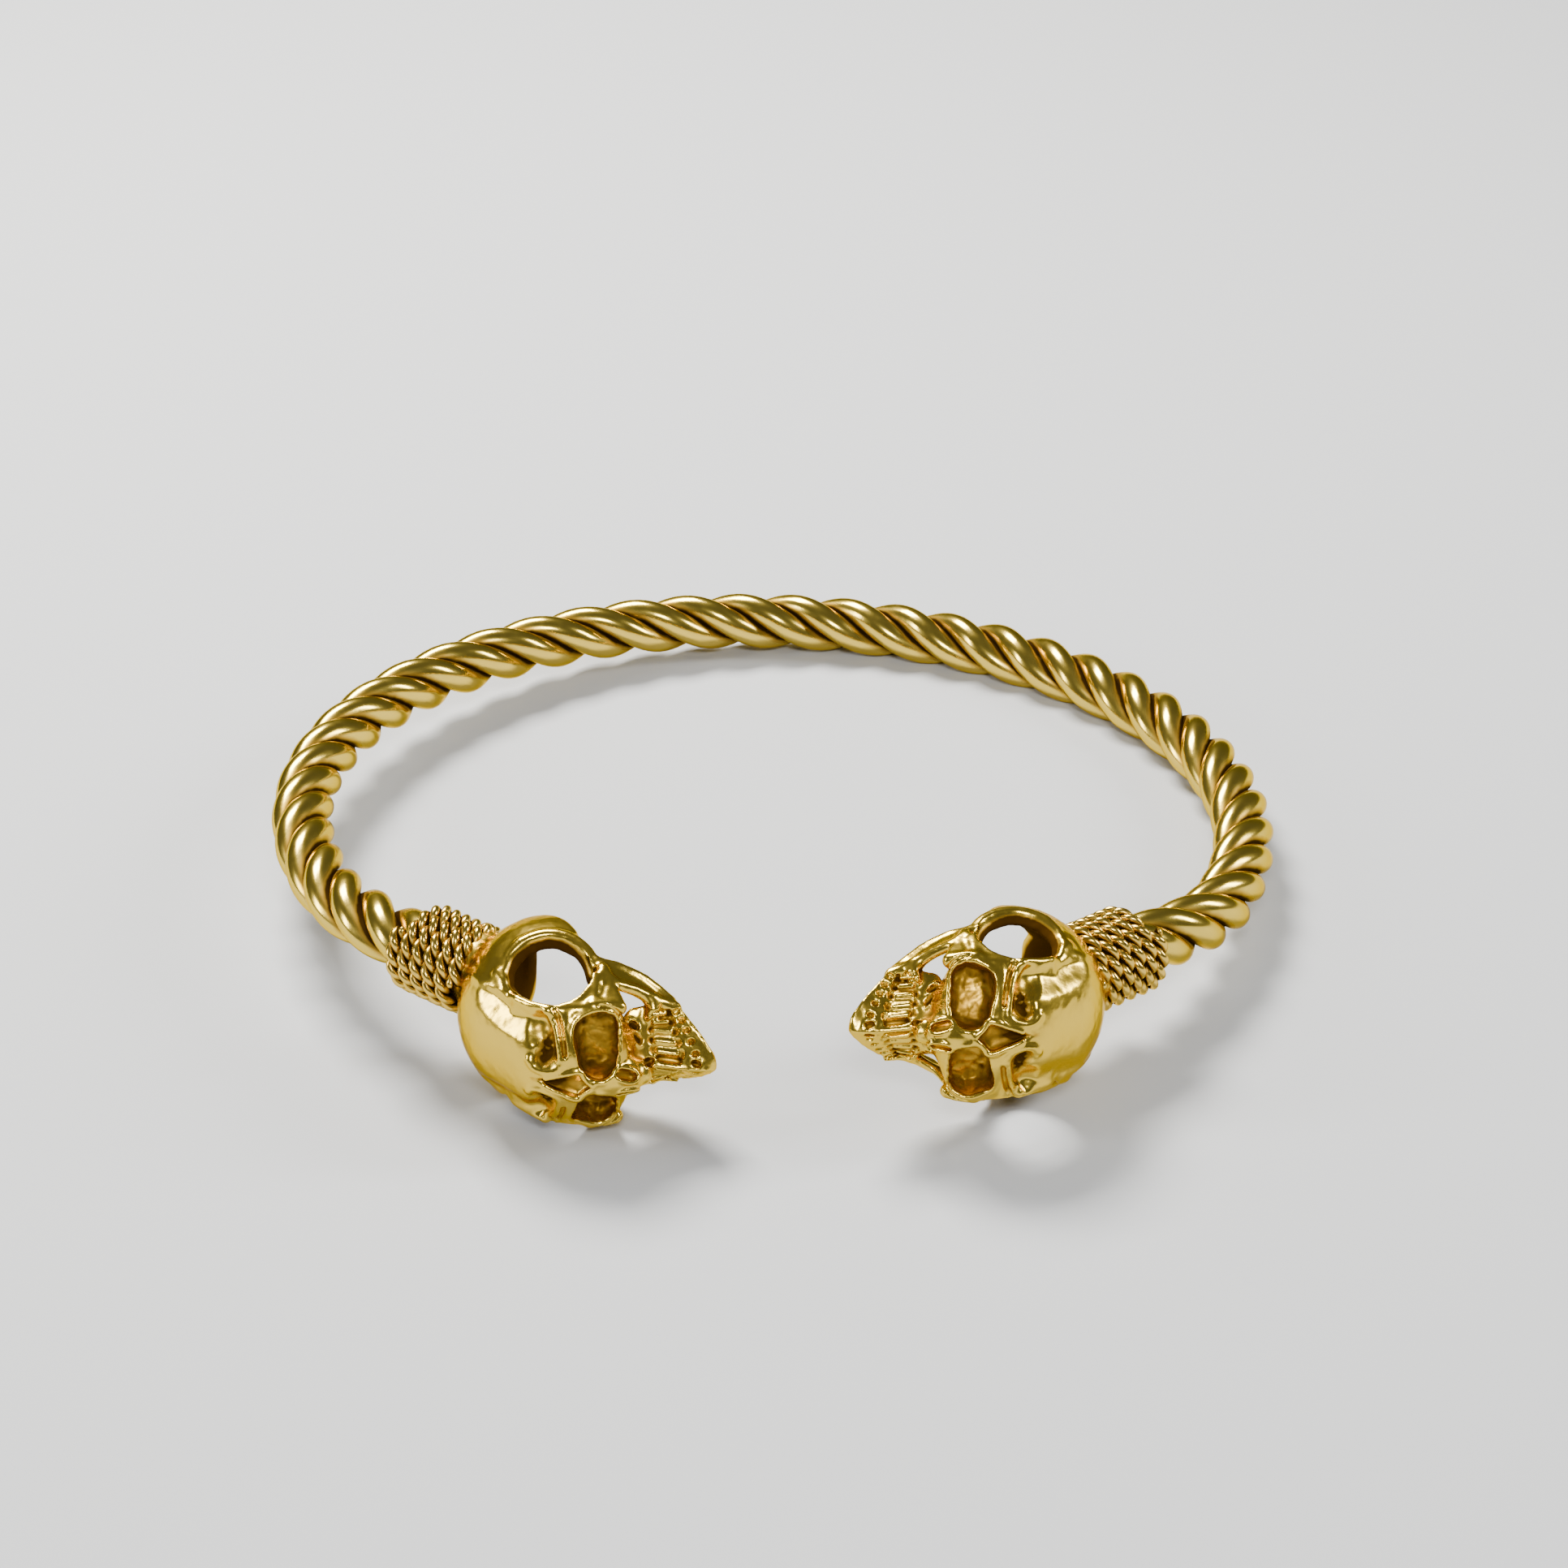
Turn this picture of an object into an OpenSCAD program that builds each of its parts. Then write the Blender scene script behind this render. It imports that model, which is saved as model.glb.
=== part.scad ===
// Open cuff bangle: a three-strand twisted rope with a hollow skull at each end.
// Millimetres, +Z up, lying at rest on Z = 0 with the gap towards -Y.

/* [Rope ring] */
// Radius of the rope's centre line
ring_r = 32; // [28:0.5:36]
// Radius of one round strand
strand_r = 0.87; // [0.7:0.01:0.87]
// Distance of a strand's centre from the rope's centre line
strand_lay = 1.13; // [1.13:0.01:1.3]
// Length along the rope of one full turn of a strand
strand_pitch = 12.2; // [10:0.1:16]
// Where the first strand stands at the middle of the back, up from the outside
strand_phase = 10; // [0:1:119]
// Bearing of each end of the rope from the middle of the gap
rope_end = 41.6; // [41.5:0.1:44]
// How far the ends of the rope rise off the ring's plane, left and right
end_lift = [0.75, 1.35];
// How far the ends of the rope pull in towards the ring's centre, left and right
end_pull = [0.6, 0.9];
// Length of bearing over which the ends bend
bend_span = 26; // [15:1:40]

/* [Binding wire] */
// Thickness of the wound wire
wire_d = 0.88; // [0.6:0.01:0.92]
// Spacing of the turns along the rope
wire_pitch = 0.99; // [0.97:0.01:1.2]
// Number of turns at each end
wire_turns = 4.5; // [3:0.5:6]
// Clearance between the wire and the rope
wire_gap = 0.1; // [0.05:0.01:0.3]
// Bearing at which the binding starts beside the skull, left and right
wire_start = [38.2, 37.7];

/* [Skull] */
// Width of the dome of the skull
dome_w = 12; // [11.6:0.1:12.4]
// Length from the crown to the tip of the chin
skull_l = 17.4; // [17.1:0.1:17.8]
// Thickness of the cast wall
wall = 1; // [0.8:0.1:1.2]
// Diameter of the round hole in each side of the dome
side_hole_d = 5.6; // [4.5:0.1:5.7]
// Diameter of the opening in the back of the dome
back_hole_d = 8.8; // [6:0.1:9]
// Length of an eye socket across the face
eye_l = 4.5; // [3.5:0.1:4.6]
// Width of an eye socket at its outer end
eye_w = 2.5; // [1.8:0.1:2.6]
// Depth of an eye socket
eye_depth = 1.5; // [1:0.1:1.6]
// Thickness of the bar from the temple to the chin on each side
bar_d = 1.5; // [1.2:0.1:1.7]
// Number of teeth on each side of the face
side_teeth = 4; // [2:1:4]

/* [Place of the skulls] */
// Bearing of the crowns from the middle of the gap, left and right
crown_bearing = [38, 37.5];
// Turn of the skulls in the ring's plane, left and right
crown_yaw = [28.4, 28.4];
// Rise of the jaws above the ring's plane, left and right
crown_rise = [-4.4, 5.2];
// Roll of the faces upward about the skulls' length, left and right
face_roll = [-5.7, 11.3];
// Distance of the crowns from the ring's centre line, outward and up, left and right
crown_shift = [[-0.2, -0.1], [0.1, 0.3]];

/* [Resting pose] */
// Tilt of the ring as it lies: front raised by the skulls
lie_tilt = 3.45; // [0:0.01:6]
// Sideways tilt of the ring as it lies
lie_roll = 2.44; // [-4:0.01:4]
// Place of the ring's centre from the middle of the base
ring_place = [-0.007, 0.813, 4.272];

/* [Hidden] */
strands = 3;
tube_sides = 10;
rings_per_turn = 9;
wire_sides = 8;
wire_steps = 14;
rope_r = strand_lay + strand_r;
neck_end = 40.6;
neck_root = 35.8;
neck_r = 1.9;
mm_per_degree = ring_r * PI / 180;
gold = [0.83, 0.66, 0.32];
dark_gold = [0.62, 0.47, 0.2];

// Smooth step from 0 to 1
function ease(t) = t <= 0 ? 0 : (t >= 1 ? 1 : t * t * (3 - 2 * t));
// Bearing b runs from the gap's middle round by the right; e_out points away from the ring's centre
function e_out(b) = [sin(b), -cos(b), 0];
function e_along(b) = [cos(b), sin(b), 0];
function gap_bearing(b) = min(b, 360 - b);
function end_bend(b) = ease((rope_end + bend_span - gap_bearing(b)) / bend_span);
function seat(b) = b < 180 ? 1 : 0;
function centre(b) = (ring_r - end_pull[seat(b)] * end_bend(b)) * e_out(b)
    + [0, 0, end_lift[seat(b)] * end_bend(b)];
function unit(v) = v / norm(v);
// Direction away from the rope's centre line at angle a from the outside, turning up
function e_round(b, a) = cos(a) * e_out(b) + sin(a) * [0, 0, 1];

// A tube with a ring of points round each [centre, away, side] of a list, closed at both ends
module tube(stations, r, sides) {
    n = len(stations);
    points = [for (s = stations) for (i = [0:sides - 1])
        s[0] + r * (cos(i * 360 / sides) * s[1] + sin(i * 360 / sides) * s[2])];
    skin = [for (k = [0:n - 2]) for (i = [0:sides - 1])
        let (j = (i + 1) % sides, a = k * sides + i, b = k * sides + j)
        each [[a, a + sides, b], [b, a + sides, b + sides]]];
    start = [[for (i = [0:sides - 1]) i]];
    end = [[for (i = [sides - 1:-1:0]) (n - 1) * sides + i]];
    polyhedron(points, concat(skin, start, end), convexity = 10);
}

// One strand of the rope: a helix that rides on the ring
strand_turn = 360 / strand_pitch * mm_per_degree;
function strand_angle(b, k) = strand_phase + 120 * k - (b - 180) * strand_turn;
function strand_station(b, k) = let (
    a = strand_angle(b, k),
    away = e_round(b, a),
    round_way = -sin(a) * e_out(b) + cos(a) * [0, 0, 1],
    along = unit(mm_per_degree * e_along(b) - strand_lay * strand_turn * PI / 180 * round_way)
) [centre(b) + strand_lay * away, away, cross(along, away)];
module strand(k) {
    span = 360 - 2 * rope_end;
    steps = round(span * mm_per_degree / strand_pitch * rings_per_turn);
    color(gold) tube([for (i = [0:steps]) strand_station(rope_end + span * i / steps, k)],
        strand_r, tube_sides);
}

// The wire wound round one end of the rope; side is -1 on the left and 1 on the right
module binding(side) {
    coil_r = rope_r + wire_gap + wire_d / 2;
    steps = round(wire_turns * wire_steps);
    color(dark_gold) tube([for (i = [0:steps])
        let (a = 360 * i / wire_steps,
            b = side * (wire_start[(side + 1) / 2] + a / 360 * wire_pitch / mm_per_degree),
            away = e_round(b, a))
        [centre((b + 360) % 360) + coil_r * away, away, e_along(b)]], wire_d / 2, wire_sides);
}

// Skull, in its own frame: x from the crown to the chin, y across, z out of the face
dome_r = dome_w / 2;
dome_at = [dome_r + 0.15, 0, -0.3];
face_r = 5.6;
face_at = [8.4, 0, 0.75];
back_hole_x = 5.85;
nose_at = [13, 0, 2.1];
nose_r = 1.4;
// Middle of an eye socket's round outer end, and the way that the socket opens
eye_at = [11.5, 3.05, 4.05];
eye_turn = 27.6;
eye_lean = 22.3;
eye_slant = 12;
// A side hole's axis passes through side_at and leans from the face by side_lean
side_at = [dome_at[0] + 1.25, 0, 0.5];
side_lean = 70;
side_from = 3.9;
brow_at = [8.7, 2.1, 8.3];
brow_r = 2.8;
nostrils = [[13.3, 0.5, 2.6], [13.8, 0.5, 2.6]];
nostril_d = 0.8;
// Crown end of the frown, and its outline from there towards the nose
frown_at = [8.25, 0, 6.35];
frown_lean = 19;
frown_depth = 0.5;
frown_kite = [[0, 0], [3.1, -1], [3.8, 0], [3.1, 1]];
// The back of the head slopes up to the jaw from here
slope_at = [9, 0, 0];
slope_lean = 37;
slope_rise = 1;
temple_y = 4.3;
jaw_room = [9.2, 1.2];
past = 8;

module both_sides() {
    children();
    mirror([0, 1, 0]) children();
}

// Jaw: its sections along x, each [x, half width, z where widest, front z, back z]
jaw_sections = [
    [11.4, 2.5, 1.0, 3.0, -0.6],
    [12.4, 2.9, 0.2, 2.7, -1.7],
    [13.4, 3.1, -0.8, 2.1, -2.3],
    [14.2, 3.05, -1.0, 1.55, -2.4],
    [15.0, 2.75, -0.8, 1.1, -2.2],
    [15.7, 2.3, -0.6, 0.8, -1.9],
    [16.3, 1.75, -0.4, 0.6, -1.5],
    [16.9, 1.1, -0.3, 0.4, -1.2],
    [skull_l, 0.4, -0.4, 0, -0.8]];
jaw_sides = 20;
function jaw_point(s, i) = let (a = i * 360 / jaw_sides)
    [s[0], s[1] * cos(a), s[2] + (sin(a) > 0 ? s[3] - s[2] : s[2] - s[4]) * sin(a)];
module jaw() {
    n = len(jaw_sections);
    skin = [for (k = [0:n - 2]) for (i = [0:jaw_sides - 1])
        let (j = (i + 1) % jaw_sides, a = k * jaw_sides + i, b = k * jaw_sides + j)
        each [[a, a + jaw_sides, b], [b, a + jaw_sides, b + jaw_sides]]];
    polyhedron([for (s = jaw_sections) for (i = [0:jaw_sides - 1]) jaw_point(s, i)],
        concat(skin, [[for (i = [0:jaw_sides - 1]) i]],
            [[for (i = [jaw_sides - 1:-1:0]) (n - 1) * jaw_sides + i]]), convexity = 4);
}

// Bar from the temple to the side of the chin, each row [x, y, z]
bar_route = [[9.3, 5, 1.9], [10.5, 4.8, 0.3], [11.4, 4.25, -0.7], [12.4, 3.55, -1.2],
    [13.4, 2.85, -1.4], [14.2, 2.3, -1.4]];
module side_bar() {
    last = len(bar_route) - 1;
    stations = [for (k = [0:last])
        let (run = unit(bar_route[min(k + 1, last)] - bar_route[max(k - 1, 0)]),
            across = unit(cross([0, 0, 1], run)))
        [bar_route[k], across, cross(run, across)]];
    tube(stations, bar_d / 2, tube_sides);
}

// Two rows of teeth stand on the front of the jaw, each a rod between two sections of the jaw
tooth_d = 0.6;
tooth_step = 0.62;
tooth_rise = 0.1;
tooth_rows = [[13.4, 14.55], [14.95, 15.8]];
function jaw_at(x) = let (k = len([for (s = jaw_sections) if (s[0] <= x) 1]) - 1,
    a = jaw_sections[k], b = jaw_sections[k + 1], t = (x - a[0]) / (b[0] - a[0])) a + t * (b - a);
function on_jaw(x, y) = let (s = jaw_at(x))
    [x, y, s[2] + (s[3] - s[2]) * sqrt(1 - pow(y / s[1], 2)) + tooth_rise];
module rod(from, to, d) {
    run = to - from;
    translate(from) rotate([0, acos(run[2] / norm(run)), atan2(run[1], run[0])])
        cylinder(h = norm(run), d = d, $fn = 16);
}
module tooth(i) {
    y = tooth_step * (i + 0.5);
    for (row = tooth_rows) rod(on_jaw(row[0], y), on_jaw(row[1], y * 0.9), tooth_d);
}

// A socket is round at both ends, wide outside and narrow beside the nose
module eye_outline() {
    narrow = eye_w * 0.45;
    circle(d = eye_w, $fn = 32);
    translate([0, -eye_l + eye_w / 2 + narrow / 2]) circle(d = narrow, $fn = 24);
    polygon([[-eye_w / 2, 0], [eye_w / 2, 0],
        [narrow / 2, -eye_l + eye_w / 2 + narrow / 2], [-narrow / 2, -eye_l + eye_w / 2 + narrow / 2]]);
}
module eye() {
    translate(eye_at) rotate([-eye_lean, eye_turn, 0]) rotate([0, 0, eye_slant])
        translate([0, 0, -eye_depth]) linear_extrude(eye_depth + 3) eye_outline();
}

module head() {
    translate(dome_at) sphere(dome_r, $fn = 64);
    translate(face_at) sphere(face_r, $fn = 64);
}
// Cuts on one side of the face: socket, nostril, brow hollow and side hole
module face_cuts() {
    eye();
    for (at = nostrils) translate(at) cylinder(h = past, d = nostril_d, $fn = 24);
    translate(brow_at) sphere(brow_r, $fn = 48);
    translate(side_at) rotate([-side_lean, 0, 0]) translate([0, 0, side_from])
        cylinder(h = past, d = side_hole_d, $fn = 48);
}
// Kite-shaped frown between the brows, pointing to the crown
module frown() {
    translate(frown_at) rotate([0, frown_lean, 0]) translate([0, 0, -frown_depth])
        linear_extrude(frown_depth + past) polygon(frown_kite);
}
// The open back: a round opening behind the dome, slopes up to the jaw and the side holes, and
// room behind the jaw
module back_cuts() {
    translate([back_hole_x, 0, -past]) cylinder(h = past - 3, d = back_hole_d, $fn = 48);
    translate(slope_at) rotate([0, slope_lean, 0]) translate([0, -past, -past])
        cube([past, 2 * past, past + slope_rise]);
    both_sides() translate(slope_at + [0, temple_y, 0]) rotate([0, slope_lean, 0]) cube(past);
    translate([jaw_room[0], -past, jaw_room[1] - past]) cube([past, 2 * past, past]);
}
module skull() {
    difference() {
        union() {
            difference() {
                head();
                back_cuts();
            }
            jaw();
            both_sides() side_bar();
            both_sides() for (i = [0:side_teeth - 1]) tooth(i);
            translate(nose_at) sphere(nose_r, $fn = 32);
        }
        translate(dome_at) sphere(dome_r - wall, $fn = 64);
        both_sides() face_cuts();
        frown();
    }
}

// Seat i is 0 on the left and 1 on the right
module place_skull(i) {
    side = i == 0 ? -1 : 1;
    r = ring_r + crown_shift[i][0];
    translate([side * r * sin(crown_bearing[i]), -r * cos(crown_bearing[i]), crown_shift[i][1]])
        mirror([i, 0, 0]) rotate([0, 0, -crown_yaw[i]]) rotate([0, -crown_rise[i], 0])
            rotate([90 - face_roll[i], 0, 0]) children();
}
// Short round neck that joins the crown to the end of the rope
module neck(side) {
    b = side * neck_end;
    length = (neck_end - neck_root) * mm_per_degree;
    translate(centre((b + 360) % 360)) rotate([0, 0, b]) rotate([0, -side * 90, 0])
        cylinder(h = length, r = neck_r, $fn = 48);
}

// The whole ring is tilted as it lies on the floor
module lying() {
    translate(ring_place) rotate([-lie_tilt, lie_roll, 0]) children();
}
module skull_set(i) {
    color(gold) lying() difference() {
        union() {
            place_skull(i) skull();
            neck(i == 0 ? -1 : 1);
        }
        place_skull(i) translate(dome_at) sphere(dome_r - wall, $fn = 64);
    }
}
module skull_left() { skull_set(0); }
module skull_right() { skull_set(1); }

lying() strand(0);  // strand_1
lying() strand(1);  // strand_2
lying() strand(2);  // strand_3
lying() binding(-1);  // binding_left
lying() binding(1);  // binding_right
skull_left();
skull_right();
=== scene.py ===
import math

import bpy
import numpy as np
from mathutils import Matrix, Vector


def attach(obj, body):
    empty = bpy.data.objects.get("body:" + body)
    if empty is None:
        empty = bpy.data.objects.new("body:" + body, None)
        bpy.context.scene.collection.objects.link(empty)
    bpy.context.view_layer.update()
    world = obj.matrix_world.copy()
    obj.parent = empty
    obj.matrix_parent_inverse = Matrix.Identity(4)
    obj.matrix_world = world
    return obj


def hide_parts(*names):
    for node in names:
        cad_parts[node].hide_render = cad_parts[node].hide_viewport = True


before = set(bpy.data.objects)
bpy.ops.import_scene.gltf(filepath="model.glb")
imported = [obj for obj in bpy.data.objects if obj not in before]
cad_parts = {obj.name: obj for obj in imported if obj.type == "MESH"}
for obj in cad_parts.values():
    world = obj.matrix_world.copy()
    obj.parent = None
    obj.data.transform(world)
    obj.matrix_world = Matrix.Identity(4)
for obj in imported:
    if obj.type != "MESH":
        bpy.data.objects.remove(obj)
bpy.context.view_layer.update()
scene = bpy.context.scene
MM = 0.001
UP = np.array([0, 0, 1.0])


# ---- The ring as it lies, in mm: the same named sizes as the part's source
RING_R, LAY, PITCH, PHASE = 32.0, 1.13, 12.2, 10.0
ROPE_END, BEND_SPAN = 41.6, 26.0
END_LIFT, END_PULL = (0.75, 1.35), (0.6, 0.9)
LIE_TILT, LIE_ROLL, RING_PLACE = 3.45, 2.44, (-0.007, 0.813, 4.272)
CROWN_BEARING, CROWN_YAW = (38.0, 37.5), (28.4, 28.4)
CROWN_RISE, FACE_ROLL = (-4.4, 5.2), (-5.7, 11.3)
CROWN_SHIFT = ((-0.2, -0.1), (0.1, 0.3))
MM_PER_DEG = RING_R * math.pi / 180


def turn(axis, degrees):
    """Rotation matrix about an axis."""
    return np.array(Matrix.Rotation(math.radians(degrees), 3, axis))


LYING = turn("Y", LIE_ROLL) @ turn("X", -LIE_TILT)


def lying(points):
    """Points of the ring, in mm, as they lie on the floor, in metres."""
    return (np.asarray(points) @ LYING.T + np.array(RING_PLACE)) * MM


def placed(points, i):
    """Points of a skull's own frame on the ring: seat 0 is the left, 1 the right."""
    side = -1 if i == 0 else 1
    b = math.radians(CROWN_BEARING[i])
    r = RING_R + CROWN_SHIFT[i][0]
    m = np.diag([-1.0 if i else 1.0, 1, 1]) @ turn("Z", -CROWN_YAW[i]) @ turn("Y", -CROWN_RISE[i]) \
        @ turn("X", 90 - FACE_ROLL[i])
    return np.asarray(points) @ m.T + np.array([side * r * math.sin(b), -r * math.cos(b), CROWN_SHIFT[i][1]])


# ---- Camera at the photograph's angle: its place in mm and its directions in the ring's frame
CAMERA_PLACE = (-7.079, -238.527, 117.881)
CAMERA_RIGHT, CAMERA_UP = np.array([0.99943, -0.01872, 0.02805]), np.array([-0.01703, 0.43781, 0.8989])
CAMERA_LENS, CAMERA_SENSOR = 89.35, 36


def make_camera():
    m = np.eye(4)
    m[:3, :3] = LYING @ np.array([CAMERA_RIGHT, CAMERA_UP, np.cross(CAMERA_RIGHT, CAMERA_UP)]).T
    m[:3, 3] = lying([CAMERA_PLACE])[0]
    data = bpy.data.cameras.new("camera")
    data.lens, data.sensor_width = CAMERA_LENS, CAMERA_SENSOR
    data.clip_start, data.clip_end = 0.01, 10
    cam = bpy.data.objects.new("camera", data)
    cam.matrix_world = Matrix(m.tolist())
    scene.collection.objects.link(cam)
    scene.camera = cam


make_camera()


# ---- Meshes
def mesh_object(name, points, quads, material, nodes, values):
    """A smooth mesh of quads from points in metres; values is the attribute of painted shade and patina at each
    point.
    """
    data = bpy.data.meshes.new(name)
    points = np.asarray(points, np.float32)
    quads = np.asarray(quads, np.int32)
    data.vertices.add(len(points))
    data.vertices.foreach_set("co", points.ravel())
    data.loops.add(quads.size)
    data.loops.foreach_set("vertex_index", quads.ravel())
    data.polygons.add(len(quads))
    data.polygons.foreach_set("loop_start", np.arange(0, quads.size, 4, dtype=np.int32))
    data.update(calc_edges=True)
    data.validate()
    data.polygons.foreach_set("use_smooth", np.ones(len(data.polygons), bool))
    layer = data.attributes.new("shade_and_patina", "FLOAT", "POINT")
    layer.data.foreach_set("value", np.asarray(values, np.float32))
    data.materials.append(material)
    piece = bpy.data.objects.new(name, data)
    scene.collection.objects.link(piece)
    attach(piece, "root")
    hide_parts(*nodes)


def tube(line, across, up, radius, sides):
    """Points and quads of a tube along a line, with a radius at each point of the line."""
    a = np.arange(sides) * 2 * math.pi / sides
    ring = np.cos(a)[None, :, None] * across[:, None, :] + np.sin(a)[None, :, None] * up[:, None, :]
    points = (line[:, None, :] + radius[:, None, None] * ring).reshape(-1, 3)
    k = np.arange(len(line) - 1)[:, None] * sides
    i = np.arange(sides)[None, :]
    j = (i + 1) % sides
    quads = np.stack([k + i, k + j, k + sides + j, k + sides + i], -1).reshape(-1, 4)
    return points, quads


def rounded_ends(radius, count, step):
    """Radii along a tube that close both of its ends in a half round."""
    t = np.minimum(np.arange(count), np.arange(count)[::-1]) * step
    t = np.minimum(t, radius)
    return np.sqrt(np.maximum(radius ** 2 - (radius - t) ** 2, 1e-6))


# ---- The rope's centre line
def ease(t):
    """0 below 0, 1 above 1 and a smooth step between."""
    t = np.clip(t, 0, 1)
    return t * t * (3 - 2 * t)


def rope_frame(b):
    """Centre, outward direction and direction of travel at bearings b, in degrees from the gap."""
    b = np.asarray(b, float)
    rad = np.radians(b)
    out = np.stack([np.sin(rad), -np.cos(rad), 0 * rad], -1)
    along = np.stack([np.cos(rad), np.sin(rad), 0 * rad], -1)
    gap = np.minimum(b % 360, 360 - b % 360)
    bend = ease((ROPE_END + BEND_SPAN - gap) / BEND_SPAN)
    right = (b % 360) < 180
    lift = np.where(right, END_LIFT[1], END_LIFT[0]) * bend
    pull = np.where(right, END_PULL[1], END_PULL[0]) * bend
    centre = (RING_R - pull)[..., None] * out + lift[..., None] * UP
    return centre, out, along


def unit(v):
    return v / np.linalg.norm(v, axis=-1, keepdims=True)


def curved(row, steps, closed=False):
    """A smooth curve through a row of points."""
    p = np.asarray(row, float)
    n = len(p)
    out = []
    for k in range(n if closed else n - 1):
        if closed:
            a, b, c, d = (p[(k + j) % n] for j in (-1, 0, 1, 2))
        else:
            b, c = p[k], p[k + 1]
            a, d = p[k - 1] if k else 2 * b - c, p[k + 2] if k + 2 < n else 2 * c - b
        for j in range(steps):
            t = j / steps
            out.append(b + 0.5 * t * (c - a + t * (2 * a - 5 * b + 4 * c - d + t * (3 * (b - c) + d - a))))
    if not closed:
        out.append(p[-1])
    return np.array(out)


# ---- The three strands of the rope, a little thicker than the solids so that their grooves close
STRAND_R, STRAND_LAY = 1.0, LAY - 0.06
STRAND_RINGS, STRAND_SIDES = 44, 24
# Degrees that each end goes on beyond the rope's end, under the binding
STRAND_TUCK = 1.5
# Distance from the rope's middle at which painted shade starts to darken the metal between the strands, and over
# which it turns dark
STRAND_GROOVE, STRAND_GROOVE_SPAN = 1.84, 0.42


def strand(k, material):
    """One strand, wound round the rope's centre line; both its ends are under the bindings."""
    start, stop = ROPE_END - STRAND_TUCK, 360 - ROPE_END + STRAND_TUCK
    count = int((stop - start) * MM_PER_DEG / PITCH * STRAND_RINGS)
    b = np.linspace(start, stop, count)
    centre, out, along = rope_frame(b)
    angle = np.radians(PHASE + 120 * k - (b - 180) * 360 / PITCH * MM_PER_DEG)
    away = np.cos(angle)[:, None] * out + np.sin(angle)[:, None] * UP
    round_way = -np.sin(angle)[:, None] * out + np.cos(angle)[:, None] * UP
    spin = -LAY * math.radians(360 / PITCH)
    travel = unit(along + spin * round_way)
    line = centre + STRAND_LAY * away
    radius = rounded_ends(STRAND_R, count, np.linalg.norm(line[1] - line[0]))
    points, quads = tube(line, away, np.cross(travel, away), radius, STRAND_SIDES)
    # Painted shade in the grooves between the strands, darker nearer the rope's middle
    from_middle = np.linalg.norm(points - np.repeat(centre, STRAND_SIDES, 0), axis=1)
    shade_and_patina = np.clip((STRAND_GROOVE - from_middle) / STRAND_GROOVE_SPAN, 0, 1)
    mesh_object(f"rope_strand_{k + 1}", lying(points), quads, material,
                [f"strand_{k + 1}"], shade_and_patina)


# ---- The two-ply wire wound round each end of the rope
# Radius of one ply, distance of the plies from the wire's middle, and length of one turn of the plies
PLY_R, WIRE_R, TWIST = 0.27, 0.25, 2.0
COIL_R, COIL_PITCH, COIL_TURNS = 2.53, 1.0, 5.15
COIL_START = (36.6, 36.4)
COIL_STEPS, PLY_SIDES = 150, 10
SOLDER_SPAN, SOLDER_ANGLE, SOLDER_OUT, SOLDER_R = (38.6, 36.4), 2.1, 2.55, 0.48


def binding(i, material):
    """The two plies of the wire at one end of the rope: end 0 is the left, 1 the right."""
    side = -1 if i == 0 else 1
    count = int(COIL_TURNS * COIL_STEPS)
    a = np.arange(count) * 2 * math.pi / COIL_STEPS
    b = side * (COIL_START[i] + a / (2 * math.pi) * COIL_PITCH / MM_PER_DEG)
    centre, out, along = rope_frame(b % 360)
    away = np.cos(a)[:, None] * out + np.sin(a)[:, None] * UP
    coil = centre + COIL_R * away
    travel = unit(np.gradient(coil, axis=0))
    across = unit(away - (away * travel).sum(1, keepdims=True) * travel)
    third = np.cross(travel, across)
    length = np.concatenate([[0], np.cumsum(np.linalg.norm(np.diff(coil, axis=0), axis=1))])
    all_points, all_quads, shade_and_patina = [], [], []
    radius = rounded_ends(PLY_R, count, length[-1] / count)
    for ply in (0, 1):
        t = -length / TWIST * 2 * math.pi + ply * math.pi
        shift = np.cos(t)[:, None] * across + np.sin(t)[:, None] * third
        line = coil + WIRE_R * shift
        run = unit(np.gradient(line, axis=0))
        first = unit(shift - (shift * run).sum(1, keepdims=True) * run)
        points, quads = tube(line, first, np.cross(run, first), radius, PLY_SIDES)
        quads = quads + sum(len(p) for p in all_points)
        # Painted shade between the coil's turns and between the two plies
        from_rope = np.linalg.norm(points - np.repeat(centre, PLY_SIDES, 0), axis=1)
        from_wire = np.linalg.norm(points - np.repeat(coil, PLY_SIDES, 0), axis=1)
        shade_between_turns = np.clip((COIL_R + 0.32 - from_rope) / 0.38, 0, 1)
        shade_between_plies = np.clip((0.4 - from_wire) / 0.17, 0, 1)
        shade_and_patina.append(shade_between_turns + shade_between_plies)
        all_points.append(points)
        all_quads.append(quads)
    if i == 0:
        # The lump of solder where the left wire ends at the skull
        count = 14
        centre, out, along = rope_frame(-np.linspace(*SOLDER_SPAN, count) % 360)
        away = math.cos(SOLDER_ANGLE) * out + math.sin(SOLDER_ANGLE) * UP
        points, quads = tube(centre + SOLDER_OUT * away, away, np.cross(along, away),
                             rounded_ends(SOLDER_R, count, 0.095), PLY_SIDES)
        all_quads.append(quads + sum(len(p) for p in all_points))
        all_points.append(points)
        shade_and_patina.append(np.full(len(points), 0.1))
    mesh_object(("binding_wire_left", "binding_wire_right")[i], lying(np.concatenate(all_points)),
                np.concatenate(all_quads), material,
                [("binding_left", "binding_right")[i]], np.clip(np.concatenate(shade_and_patina), 0, 1))


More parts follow.
